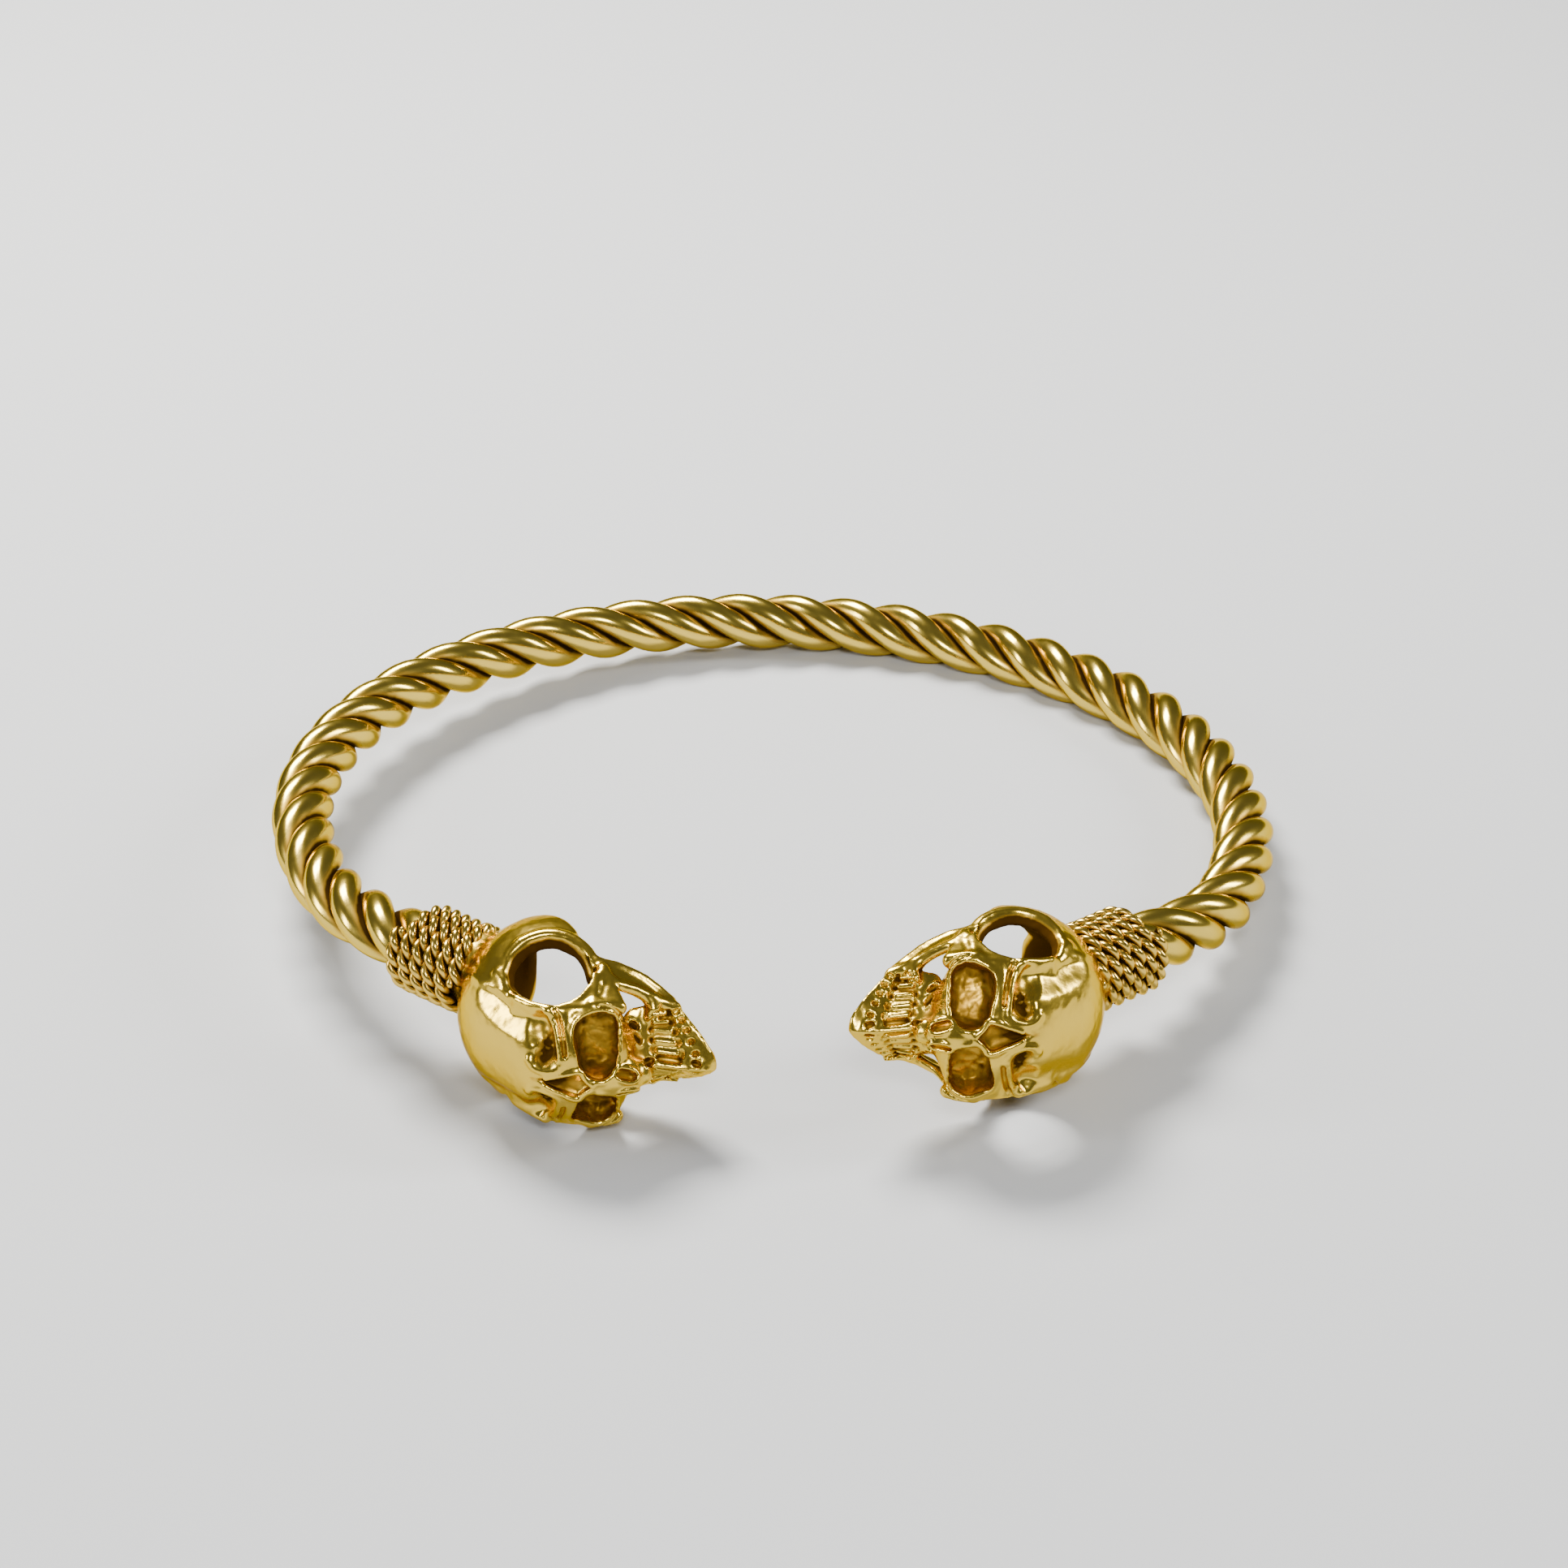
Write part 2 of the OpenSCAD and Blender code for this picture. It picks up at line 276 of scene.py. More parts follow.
# ---- The skull as a solid field on a grid, in its own frame: x from crown to chin, y across, z out of
# ---- the face. Only the half with y >= 0 is worked out, and the other half is its mirror image.
STEP = 0.105
GX = np.arange(-1.6, 18.4, STEP)
GY = np.arange(0, 7.0, STEP)
GZ = np.arange(-6.9, 7.3, STEP)
# How far round a bar the field is worked out
BAR_MARGIN = 0.5
# The dome's middle, its radius and that of its hollow
DOME_AT, DOME_R, HOLLOW_R = (6.15, 0, -0.3), 6.0, 5.05
# The way from the face to the eye, along which points are brought to the surface
SIGHT = unit(np.array([0.49, 0.44, 0.74]))


def smooth_min(a, b, k):
    """The smaller of two distances, with a fillet of about k mm where they meet."""
    h = np.clip(0.5 + 0.5 * (b - a) / k, 0, 1)
    return b + (a - b) * h - k * h * (1 - h)


def smooth_max(a, b, k):
    return -smooth_min(-a, -b, k)


class Field:
    """Distance to the skull's surface at each point of the grid, less than 0 inside."""

    def __init__(self):
        self.d = np.full((len(GX), len(GY), len(GZ)), 9.0, np.float32)

    def block(self, low, high):
        """The part of the grid between two corners, and x, y and z of its points."""
        cut = [slice(max(0, int((lo - g[0]) / STEP) - 1), max(0, int((hi - g[0]) / STEP) + 2))
               for lo, hi, g in zip(low, high, (GX, GY, GZ))]
        return tuple(cut), GX[cut[0]][:, None, None], GY[cut[1]][None, :, None], GZ[cut[2]][None, None, :]

    def add(self, shape, low, high, k=0.3):
        cut, x, y, z = self.block(low, high)
        self.d[cut] = smooth_min(self.d[cut], shape(x, y, z), k)

    def cut(self, shape, low, high, k=0.3):
        cut, x, y, z = self.block(low, high)
        self.d[cut] = smooth_max(self.d[cut], -shape(x, y, z), k)

    def at(self, p):
        """The distance at a point between the grid's nodes."""
        q = [(c - g[0]) / STEP for c, g in zip((p[0], abs(p[1]), p[2]), (GX, GY, GZ))]
        i = [int(min(max(v, 0), n - 2)) for v, n in zip(q, self.d.shape)]
        f = [v - n for v, n in zip(q, i)]
        total = 0.0
        for dx in (0, 1):
            for dy in (0, 1):
                for dz in (0, 1):
                    w = (f[0] if dx else 1 - f[0]) * (f[1] if dy else 1 - f[1]) * (f[2] if dz else 1 - f[2])
                    total += w * float(self.d[i[0] + dx, i[1] + dy, i[2] + dz])
        return total

    def normal(self, p, e=0.15):
        """The way out of the surface at a point, found over e mm on each side."""
        g = np.array([self.at(p + e * a) - self.at(p - e * a) for a in np.eye(3)])
        return g / (np.linalg.norm(g) + 1e-9)

    def snap(self, p, reach=1.2, step=0.04):
        """The surface point seen at p from the front, near it."""
        t = reach
        p = np.asarray(p, float)
        while t > -reach:
            if self.at(p + t * SIGHT) < 0:
                return p + t * SIGHT
            t -= step
        return p

    def trail(self, row, offset):
        """A row of points brought to the surface and moved out of it by offset."""
        out = []
        for p in row:
            s = self.snap(p)
            out.append(s + offset * self.normal(s))
        return np.array(out)


def ball(c, r):
    """Distance to a ball; with r = 0, distance from its middle."""
    return lambda x, y, z: np.sqrt((x - c[0]) ** 2 + (y - c[1]) ** 2 + (z - c[2]) ** 2) - r


def chain(points, radii):
    """A rounded bar through points, each with its own radius."""
    points = np.asarray(points, float)
    radii = np.broadcast_to(np.asarray(radii, float), (len(points),))

    def shape(x, y, z):
        best = None
        for a, b, ra, rb in zip(points, points[1:], radii, radii[1:]):
            d = b - a
            t = ((x - a[0]) * d[0] + (y - a[1]) * d[1] + (z - a[2]) * d[2]) / (d @ d)
            t = np.clip(t, 0, 1)
            v = np.sqrt((x - a[0] - t * d[0]) ** 2 + (y - a[1] - t * d[1]) ** 2 + (z - a[2] - t * d[2]) ** 2)
            v = v - (ra + (rb - ra) * t)
            best = v if best is None else np.minimum(best, v)
        return best
    return shape


def reach_of(points, r):
    """Corners of the box that is r mm wider than the points on every side."""
    points = np.asarray(points, float)
    return points.min(0) - r, points.max(0) + r


def add_bar(f, points, radii, k=0.3):
    low, high = reach_of(points, np.max(radii) + k + BAR_MARGIN)
    f.add(chain(points, radii), low, high, k)


def cut_bar(f, points, radii, k=0.2):
    low, high = reach_of(points, np.max(radii) + k + BAR_MARGIN)
    f.cut(chain(points, radii), low, high, k)


def ridge(f, row, r, height, k=0.2):
    """A round ridge of radius r along a row of points of the surface, standing out of it by height."""
    add_bar(f, f.trail(curved(row, 3), height - r), r, k)


def groove(f, row, r, depth, k=0.15):
    """A round groove of radius r along a row of points of the surface."""
    cut_bar(f, f.trail(curved(row, 3), r - depth), r, k)


def pit(f, p, size, depth, along=(1, 0, 0), k=0.1):
    """A small hollow of half length and half width size, with its length along a direction."""
    s = f.snap(p)
    n = f.normal(s)
    a = np.array(along, float)
    a = unit(a - (a @ n) * n)
    c = s + n * (size[1] - depth)
    cut_bar(f, [c - a * (size[0] - size[1]), c + a * (size[0] - size[1])], size[1], k)


def ring_ridge(f, p, size, r, height, along=(1, 0, 0), k=0.08):
    """A raised oval rim."""
    s = f.snap(p)
    n = f.normal(s)
    a = np.array(along, float)
    a = unit(a - (a @ n) * n)
    b = np.cross(n, a)
    t = np.linspace(0, 2 * math.pi, 17)
    loop = [s + n * (height - r) + a * size[0] * math.cos(v) + b * size[1] * math.sin(v) for v in t]
    add_bar(f, loop, r, k)


def rimmed_pit(f, p, rim, hollow, r, height, depth, along=(1, 0, 0)):
    """A small hollow within a raised oval rim, each given by its half length and half width."""
    ring_ridge(f, p, rim, r, height, along)
    pit(f, p, hollow, depth, along)


def prism(outline, normal, depth):
    """Distance to a straight-sided hollow of an outline, depth mm deep below its plane."""
    outline = np.asarray(outline, float)
    n = unit(np.asarray(normal, float))
    a = unit(np.cross([0, 1, 0], n))
    b = np.cross(n, a)
    mid = outline.mean(0)
    u, v = (outline - mid) @ a, (outline - mid) @ b

    def shape(x, y, z):
        px = (x - mid[0]) * a[0] + (y - mid[1]) * a[1] + (z - mid[2]) * a[2]
        py = (x - mid[0]) * b[0] + (y - mid[1]) * b[1] + (z - mid[2]) * b[2]
        pz = (x - mid[0]) * n[0] + (y - mid[1]) * n[1] + (z - mid[2]) * n[2]
        best, inside = None, np.zeros(px.shape, bool)
        for k in range(len(u)):
            j = (k + 1) % len(u)
            ex, ey = u[j] - u[k], v[j] - v[k]
            t = np.clip(((px - u[k]) * ex + (py - v[k]) * ey) / (ex * ex + ey * ey), 0, 1)
            dd = (px - u[k] - t * ex) ** 2 + (py - v[k] - t * ey) ** 2
            best = dd if best is None else np.minimum(best, dd)
            side = ((v[k] > py) != (v[j] > py)) & (px < ex * (py - v[k]) / (ey if abs(ey) > 1e-9 else 1e-9) + u[k])
            inside ^= side
        flat = np.sqrt(best) * np.where(inside, -1, 1)
        return smooth_max(flat, -pz - depth, 0.9)
    return shape


# The jaw's sections along x: half width, z where it is widest, z of its front and of its back
JAW = (
    (11.6, 2.75, 0.6, 3.2, -0.6),
    (12.4, 2.9, 0.0, 2.9, -1.6),
    (12.9, 2.9, -0.5, 2.6, -2.0),
    (13.4, 2.85, -1.0, 2.0, -2.4),
    (14.0, 2.7, -1.25, 1.35, -2.4),
    (14.6, 2.5, -1.25, 1.0, -2.3),
    (15.2, 2.2, -1.1, 0.7, -2.05),
    (15.8, 1.8, -0.95, 0.4, -1.8),
    (16.4, 1.35, -0.8, 0.12, -1.55),
    (17.0, 0.85, -0.7, -0.2, -1.25),
    (17.45, 0.35, -0.6, -0.4, -0.85),
)
# How round its sections are: 1 is a straight-edged ridge, 2 an ellipse
JAW_FRONT_POWER, JAW_BACK_POWER = 1.02, 1.7


def jaw(x, y, z):
    """Distance to the jaw, near enough: its front is almost a ridge and its back is rounder."""
    table = np.array(JAW)
    w, zm, zf, zb = (np.interp(x, table[:, 0], table[:, c]) for c in (1, 2, 3, 4))
    front = z > zm
    h = np.where(front, zf - zm, zm - zb)
    n = np.where(front, JAW_FRONT_POWER, JAW_BACK_POWER)
    q = (np.abs(y / w) ** n + np.abs((z - zm) / h) ** n + 1e-9) ** (1 / n)
    body = (q - 1) * np.minimum(w, h) * 0.8
    ends = np.maximum(JAW[0][0] - x, x - JAW[-1][0])
    return smooth_max(body, ends, 0.4)


# Forms of one side of the face, each a row of points in mm
SOCKET = ((11.15, 4.1, 3.35), (11.7, 4.0, 2.95), (12.32, 3.55, 2.8), (12.65, 2.85, 3.2), (12.98, 1.85, 3.7),
          (13.0, 1.05, 4.1), (12.62, 0.5, 4.65), (12.0, 0.48, 5.05), (11.35, 1.0, 5.38), (10.95, 2.0, 5.28),
          (10.55, 2.95, 5.0), (10.45, 3.75, 4.3))
SOCKET_FACES, SOCKET_DEPTH = (0.436, 0.342, 0.832), 1.75
CHEEK = ((9.9, 5.05, 0.45), (12.1, 4.2, 2.15), (10.8, 4.35, 3.2))
PLATE_OUTER = ((9.2, 5.05, 0.0), (10.2, 4.8, -0.5), (11.07, 4.35, -0.95), (11.8, 3.85, -1.35), (12.6, 3.2, -1.6),
               (13.5, 2.7, -1.6))
PLATE_INNER = ((10.1, 5.0, 0.9), (11.2, 4.6, 0.85), (12.0, 4.0, 0.05), (12.8, 3.35, -0.5), (13.5, 2.85, -1.0),
               (14.0, 2.6, -1.3))
BAND = ((12.3, 3.9, 2.35), (11.6, 4.35, 2.9), (10.6, 4.3, 3.5), (9.3, 4.2, 4.25), (7.7, 4.05, 4.5),
        (6.4, 3.9, 4.45), (5.2, 4.05, 4.05), (4.2, 4.35, 3.4))
TEMPLE = ((8.8, 3.6, 5.0), (7.6, 3.62, 4.9), (6.66, 3.6, 4.65), (5.07, 3.8, 4.2), (3.68, 3.65, 3.75),
          (2.26, 3.17, 2.98))
TEMPLE_HOLLOW = ((8.1, 3.0, 5.4), (6.8, 3.0, 5.1), (5.4, 3.1, 4.6), (4.2, 3.1, 4.0))
BROW_GROOVE = ((8.8, 4.15, 4.34), (9.5, 3.6, 4.85), (10.0, 2.8, 5.31), (10.35, 1.95, 5.64))
BROW_RIDGE = ((8.5, 4.0, 4.75), (8.95, 3.7, 4.95), (9.5, 3.2, 5.2), (9.95, 2.45, 5.55), (10.2, 1.7, 5.78),
              (10.2, 1.15, 5.9), (9.8, 0.85, 6.1), (9.1, 0.72, 6.25), (8.5, 0.85, 6.3), (8.2, 1.2, 6.25))
BROW_HOLLOW = ((8.55, 3.3, 5.3), (8.95, 2.6, 5.7), (9.15, 1.8, 6.0))
PILLAR = ((10.0, 4.05, 4.6), (10.2, 3.3, 5.1), (10.5, 2.4, 5.4), (10.8, 1.6, 5.6), (10.9, 1.1, 5.7))
FROWN = ((12.0, 0.0, 5.06), (11.6, 0.55, 5.3), (11.25, 1.0, 5.42), (10.4, 0.72, 5.85), (9.4, 0.3, 6.2),
         (8.25, 0.0, 6.35))
FROWN_FACES, FROWN_DEPTH = (0.36, 0, 0.93), 0.4
# Teeth: the chin end and the root end of each, and its half width
TEETH = (
    ((15.3, 0.72, 0.2), (13.95, 0.78, 0.9), 0.21),
    ((14.9, 1.15, -0.1), (13.6, 1.2, 0.55), 0.2),
    ((14.45, 1.6, -0.45), (13.3, 1.65, 0.2), 0.18),
    ((14.0, 1.95, -0.8), (13.1, 2.05, -0.1), 0.16),
    ((13.65, 2.3, -1.1), (12.95, 2.4, -0.4), 0.14),
)
# The row of ovals along the edge of the chin
CHIN_PITS = ((16.2, 0.85, -0.15), (15.65, 1.3, -0.5), (15.1, 1.7, -0.85), (14.55, 2.05, -1.2), (14.0, 2.35, -1.5))


def kite_outline():
    """The frown's outline on both sides of the face."""
    return [*FROWN, *[(x, -y, z) for x, y, z in FROWN[-2:0:-1]]]


def sheet(rows, r):
    """A thin sheet of thickness 2 r through the triangles of a strip between two rows."""
    a, b = (np.asarray(row, float) for row in rows)
    faces = []
    for k in range(min(len(a), len(b)) - 1):
        faces += [(a[k], b[k], a[k + 1]), (b[k], b[k + 1], a[k + 1])]

    def shape(x, y, z):
        best = None
        for p in faces:
            v = triangle(p, x, y, z) - r
            best = v if best is None else np.minimum(best, v)
        return best
    return shape


def triangle(p, x, y, z):
    """Distance to a flat triangle with corners p."""
    p0, p1, p2 = (np.asarray(q, float) for q in p)
    n = unit(np.cross(p1 - p0, p2 - p0))
    inside, edge = None, None
    for u, v in ((p0, p1), (p1, p2), (p2, p0)):
        d, q = v - u, (x - u[0], y - u[1], z - u[2])
        m = np.cross(n, d)
        side = q[0] * m[0] + q[1] * m[1] + q[2] * m[2] >= 0
        inside = side if inside is None else inside & side
        t = np.clip((q[0] * d[0] + q[1] * d[1] + q[2] * d[2]) / (d @ d), 0, 1)
        w = (q[0] - t * d[0]) ** 2 + (q[1] - t * d[1]) ** 2 + (q[2] - t * d[2]) ** 2
        edge = w if edge is None else np.minimum(edge, w)
    flat = np.abs((x - p0[0]) * n[0] + (y - p0[1]) * n[1] + (z - p0[2]) * n[2])
    return np.where(inside, flat, np.sqrt(edge))


def rough(x, y, z, size):
    """Even unevenness between -1 and 1 with bumps of about the given size."""
    k = 2.2 / size
    return (np.sin(k * x + 1.7 * np.sin(0.8 * k * y + 0.5)) * np.sin(k * y * 1.1 + 1.3 * np.sin(0.9 * k * z))
            * np.sin(k * z * 0.95 + 1.5 * np.sin(0.7 * k * x + 2)))


def below_socket(y, z):
    """x of the steep wall from the socket's edge down to the upper jaw."""
    top = 13.32 - 0.17 * (y - 1.6)
    foot = 12.8 - 0.8 * np.maximum(y - 1.54, 0)
    return foot + (top - foot) * np.clip((z - 1.0) / 2.2, 0, 1)


# The round hole in each side of the dome: x, shift and z of its axis, the way it leans, and its rim's radius
HOLE_AT, HOLE_LEAN, RIM_R = (7.15, 0.1, 0.5), unit(np.array([0, 0.94, 0.34])), 2.95


def hole_place(x, y, z):
    """Distance from the side hole's axis, and place along it."""
    along = y * HOLE_LEAN[1] + (z - HOLE_AT[2]) * HOLE_LEAN[2]
    across = (z - HOLE_AT[2]) * HOLE_LEAN[1] - y * HOLE_LEAN[2]
    return np.sqrt((x - HOLE_AT[0]) ** 2 + (across - HOLE_AT[1]) ** 2), along


def side_hole(x, y, z):
    """Distance to the hole, which widens through the wall."""
    r, along = hole_place(x, y, z)
    from_middle = ball(DOME_AT, 0)(x, y, z)
    wide = 2.1 + 0.62 * ease((from_middle - 5.0) / 1.05) + 0.06 * rough(x, y, z, 0.7)
    return np.maximum(r - wide, 2.0 - along)


def behind_slope(x, z, start):
    """How far a point is behind the slope that leaves the back at x = start and rises to the jaw."""
    return (x - start) * 0.8 - z * 0.6


def under_face(x, z):
    """How far a point is below the slanted underside of the face."""
    return 1 - (x - 9) * 0.6 - z * 0.8


def nape(x, y, z):
    """Distance to the part of the dome cut away behind the side hole's rim."""
    outward = ease((y - 2.4) / 2.0)
    steep = (1 - outward) * behind_slope(x, z, 9.1) + outward * (0.63 * x - 0.777 * z - 5.5)
    level = 0.15 * (x - 7) - 4.4 + 2.0 * ease((y - 1.2) / 3.2) - z
    gone = np.minimum(smooth_max(steep, level, 1.0), under_face(x, z))
    return -np.minimum(gone, hole_place(x, y, z)[0] - RIM_R)


def rim_of_hole(start, stop, count, sunk):
    """Points of the hole's rim on the dome between two angles round the hole, sunk into the dome."""
    t = np.radians(np.linspace(start, stop, count))
    up = np.array([0, -HOLE_LEAN[2], HOLE_LEAN[1]])
    middle = np.array([HOLE_AT[0], 0, HOLE_AT[2]])
    points = []
    for v in t:
        flat = middle + RIM_R * (math.cos(v) * np.array([1, 0, 0]) + math.sin(v) * up) + HOLE_AT[1] * up
        off = flat - DOME_AT
        b, c = off @ HOLE_LEAN, off @ off - (DOME_R - sunk) ** 2
        points.append(flat + HOLE_LEAN * (-b + math.sqrt(max(b * b - c, 0))))
    return points


def brow_patch(x, y):
    """1 in the middle of the rough patch above the brow, 0 outside it."""
    return np.clip(1.5 - np.sqrt(((x - 9.0) / 0.42) ** 2 + ((y - 1.85) / 0.7) ** 2), 0, 1)


def skull_field():
    """The distance field of the half with y >= 0."""
    f = Field()
    everywhere = ((-9, -9, -9), (30, 30, 30))
    f.add(ball(DOME_AT, DOME_R), *everywhere, k=0.01)
    f.add(ball((8.4, 0, 0.75), 5.6), *everywhere, k=0.5)
    # The hollow and its round opening at the back, with the back's edge trimmed towards the jaw
    f.cut(ball(DOME_AT, HOLLOW_R), *everywhere, k=0.3)
    f.cut(lambda x, y, z: np.maximum(np.maximum(np.sqrt((x - 5.85) ** 2 + y ** 2) - 4.45, 2.55 - x), z + 1.5),
          *everywhere, k=0.3)
    f.cut(lambda x, y, z: z + 4.3 + 0.1 * x + 0 * y, *everywhere, k=0.5)
    f.cut(lambda x, y, z: -np.minimum(behind_slope(x, z, 9), under_face(x, z)) + 0 * y, *everywhere, k=0.35)
    f.cut(lambda x, y, z: -np.minimum(x - 9.3, 1.2 - z) + 0 * y, *everywhere, k=0.3)
    f.cut(nape, *everywhere, k=0.4)
    f.cut(lambda x, y, z: -np.minimum(behind_slope(x, z, 9.25), y - 4.4), *everywhere, k=0.3)
    # The steep wall below the eye socket
    f.cut(lambda x, y, z: (below_socket(y, z) - x) * 0.9, (11, 0, -2), (15, 6, 5.2), k=0.3)
    # Jaw and nose
    f.add(jaw, (10.5, 0, -4), (18.4, 4.5, 5), k=0.55)
    add_bar(f, [(12.1, 0, 4.1), (13.3, 0, 3.0), (13.75, 0, 2.3)], [1.1, 1.0, 0.75], 0.5)
    # Side hole, its rim towards the jaw, the cheek and the plate that runs from it to the chin
    f.cut(side_hole, (3.5, 2, -3), (11.5, 7, 6.5), k=0.25)
    rim_radii = [0.1, 0.2, 0.3, *[0.36] * 18, 0.33, 0.28, 0.22, 0.16, 0.1]
    add_bar(f, rim_of_hole(-185, 90, len(rim_radii), 0.22), rim_radii, 0.2)
    f.add(lambda x, y, z: triangle(CHEEK, x, y, z) - 0.36, (9, 3, -1), (13, 6, 4.5), k=0.25)
    f.add(sheet((PLATE_OUTER, PLATE_INNER), 0.2), (8.5, 1.5, -3.2), (14.8, 6, 2), k=0.3)
    add_bar(f, PLATE_OUTER, [0.3, 0.32, 0.34, 0.36, 0.4, 0.4], 0.25)
    add_bar(f, PLATE_INNER, [0.28, 0.3, 0.34, 0.38, 0.4, 0.4], 0.25)
    add_bar(f, [(12.9, 3.3, -0.45), (13.15, 2.9, -0.2), (13.2, 2.5, 0.0)], [0.36, 0.42, 0.4], 0.35)
    cut_bar(f, [(10.8, 5.2, 1.75), (11.05, 5.0, 2.55)], 0.27, 0.12)
    ridge(f, BAND, 0.36, 0.12, 0.35)
    # Temple, brow, eye socket and its rim
    groove(f, TEMPLE_HOLLOW, 1.4, 0.14, 0.5)
    ridge(f, TEMPLE, 0.3, 0.05, 0.3)
    add_bar(f, [(6.4, 3.25, 4.45), (7.1, 3.35, 4.5)], 0.32, 0.3)
    groove(f, BROW_HOLLOW, 0.85, 0.5, 0.35)
    ridge(f, BROW_RIDGE, 0.24, 0.17, 0.2)
    ridge(f, PILLAR, 0.3, 0.08, 0.25)
    groove(f, BROW_GROOVE, 0.15, 0.22, 0.12)
    socket = curved(SOCKET, 4, True)
    inside = prism(socket, SOCKET_FACES, SOCKET_DEPTH)
    f.cut(lambda x, y, z: smooth_max(inside(x, y, z), 0.3 - y, 0.3), (8.5, -0.2, 1), (14, 5.5, 7.2), k=0.15)
    middle = socket.mean(0)
    rim = middle + (np.concatenate([socket, socket[:1]]) - middle) * 1.07
    outside = middle + (socket - middle) * 1.2
    ridge(f, rim, 0.15, 0.1, 0.12)
    groove(f, outside[9:0:-2], 0.12, 0.16, 0.1)
    # Frown: a sunk kite with raised edges
    f.cut(prism(kite_outline(), FROWN_FACES, FROWN_DEPTH), (7.8, -0.2, 4), (12.4, 1.6, 7.2), k=0.1)
    ridge(f, FROWN[:-1], 0.19, 0.19, 0.12)
    # Nose, teeth and the small hollows round them
    rimmed_pit(f, (13.42, 0.5, 3.5), (0.8, 0.46), (0.7, 0.36), 0.13, 0.1, 0.6, (1, 0, -0.4))
    rimmed_pit(f, (13.0, 1.55, 1.33), (0.5, 0.33), (0.42, 0.25), 0.1, 0.08, 0.25, (1, -0.5, 0))
    rimmed_pit(f, (12.6, 2.2, 1.1), (0.45, 0.3), (0.37, 0.22), 0.1, 0.08, 0.25, (1, -0.5, 0))
    rimmed_pit(f, (13.85, 0.5, 1.95), (0.26, 0.18), (0.2, 0.13), 0.08, 0.06, 0.2)
    # Each tooth stands in a wider groove
    for a, b, r in TEETH:
        a, b = f.snap(a), f.snap(b)
        n = f.normal((a + b) / 2)
        along = unit(a - b)
        cut_bar(f, [a + n * (r - 0.06), b + n * (r - 0.06)], r + 0.12, 0.08)
        add_bar(f, [a - along * r - n * (r - 0.09), b + along * r - n * (r - 0.09)], r, 0.06)
    # The midline and the chin's ovals
    groove(f, [(14.3, 0.46, 0.95), (15.35, 0.46, 0.35)], 0.23, 0.33, 0.05)
    groove(f, [(13.75, 0.34, 1.5), (14.0, 0.34, 1.32)], 0.2, 0.3, 0.05)
    ridge(f, [(13.9, 0.0, 1.5), (14.6, 0.0, 1.0), (15.7, 0.0, 0.45), (16.9, 0, -0.15)], 0.13, 0.05, 0.08)
    rimmed_pit(f, (16.35, 0.36, 0.0), (0.42, 0.27), (0.33, 0.19), 0.1, 0.08, 0.3)
    for p in CHIN_PITS:
        rimmed_pit(f, p, (0.3, 0.23), (0.23, 0.17), 0.08, 0.05, 0.2, (1, 0.5, 0))
    # Unevenness of the casting
    x, y, z = GX[:, None, None], GY[None, :, None], GZ[None, None, :]
    f.d += 0.018 * rough(x, y, z, 1.1) + 0.011 * rough(y, z, x, 0.5)
    f.d += np.where(z > 4, 0.24 * brow_patch(x, y) * (0.7 + 0.9 * rough(x, y, z, 0.3)), 0)
    here, x, y, z = f.block((9.5, 0, 1), (13.5, 5, 5))
    uneven = rough(x, y, z, 0.5) + rough(z, x, y, 0.3)
    f.d[here] += 0.04 * floor_of(SOCKET, SOCKET_FACES, SOCKET_DEPTH, x, y, z, 0.4) * uneven
    return f.d


def box_blur(a, half):
    """The mean of a grid's values over half steps to every side."""
    for axis in range(3):
        pad = [(half + 1, half) if k == axis else (0, 0) for k in range(3)]
        c = np.cumsum(np.pad(a, pad, mode="edge"), axis=axis, dtype=np.float64)
        n = a.shape[axis]
        a = (np.take(c, np.arange(2 * half + 1, 2 * half + 1 + n), axis)
             - np.take(c, np.arange(n), axis)) / (2 * half + 1)
    return a


def surface(d):
    """Vertices, in grid steps, and quads of the surface where d is 0: one vertex in each crossed cell."""
    inside = d < 0
    cells = tuple(n - 1 for n in d.shape)
    total = np.zeros(cells + (3,), np.float32)
    count = np.zeros(cells, np.float32)
    quads = []
    edges = {}
    for axis in range(3):
        a = [slice(None)] * 3
        b = [slice(None)] * 3
        a[axis], b[axis] = slice(0, -1), slice(1, None)
        hit = np.argwhere(inside[tuple(a)] != inside[tuple(b)])
        lo = d[tuple(hit.T)]
        far = hit.copy()
        far[:, axis] += 1
        hi = d[tuple(far.T)]
        p = hit.astype(np.float32)
        p[:, axis] += lo / (lo - hi)
        edges[axis] = (hit, lo < 0)
        o1, o2 = [k for k in range(3) if k != axis]
        for s1 in (0, 1):
            for s2 in (0, 1):
                c = hit.copy()
                c[:, o1] -= s1
                c[:, o2] -= s2
                ok = np.all(c >= 0, 1) & np.all(c < np.array(cells), 1)
                np.add.at(total, tuple(c[ok].T), p[ok])
                np.add.at(count, tuple(c[ok].T), 1)
    used = count > 0
    index = np.full(cells, -1, np.int64)
    index[used] = np.arange(used.sum())
    points = total[used] / count[used][:, None]
    for axis in range(3):
        hit, positive = edges[axis]
        o1, o2 = (axis + 1) % 3, (axis + 2) % 3
        corners = []
        for s1, s2 in ((0, 0), (1, 0), (1, 1), (0, 1)):
            c = hit.copy()
            c[:, o1] -= s1
            c[:, o2] -= s2
            corners.append(index[tuple(np.clip(c, 0, np.array(cells) - 1).T)])
        q = np.stack(corners, -1)
        q[~positive] = q[~positive][:, ::-1]
        quads.append(q)
    quads = np.concatenate(quads)
    return points, quads[np.all(quads >= 0, 1)]


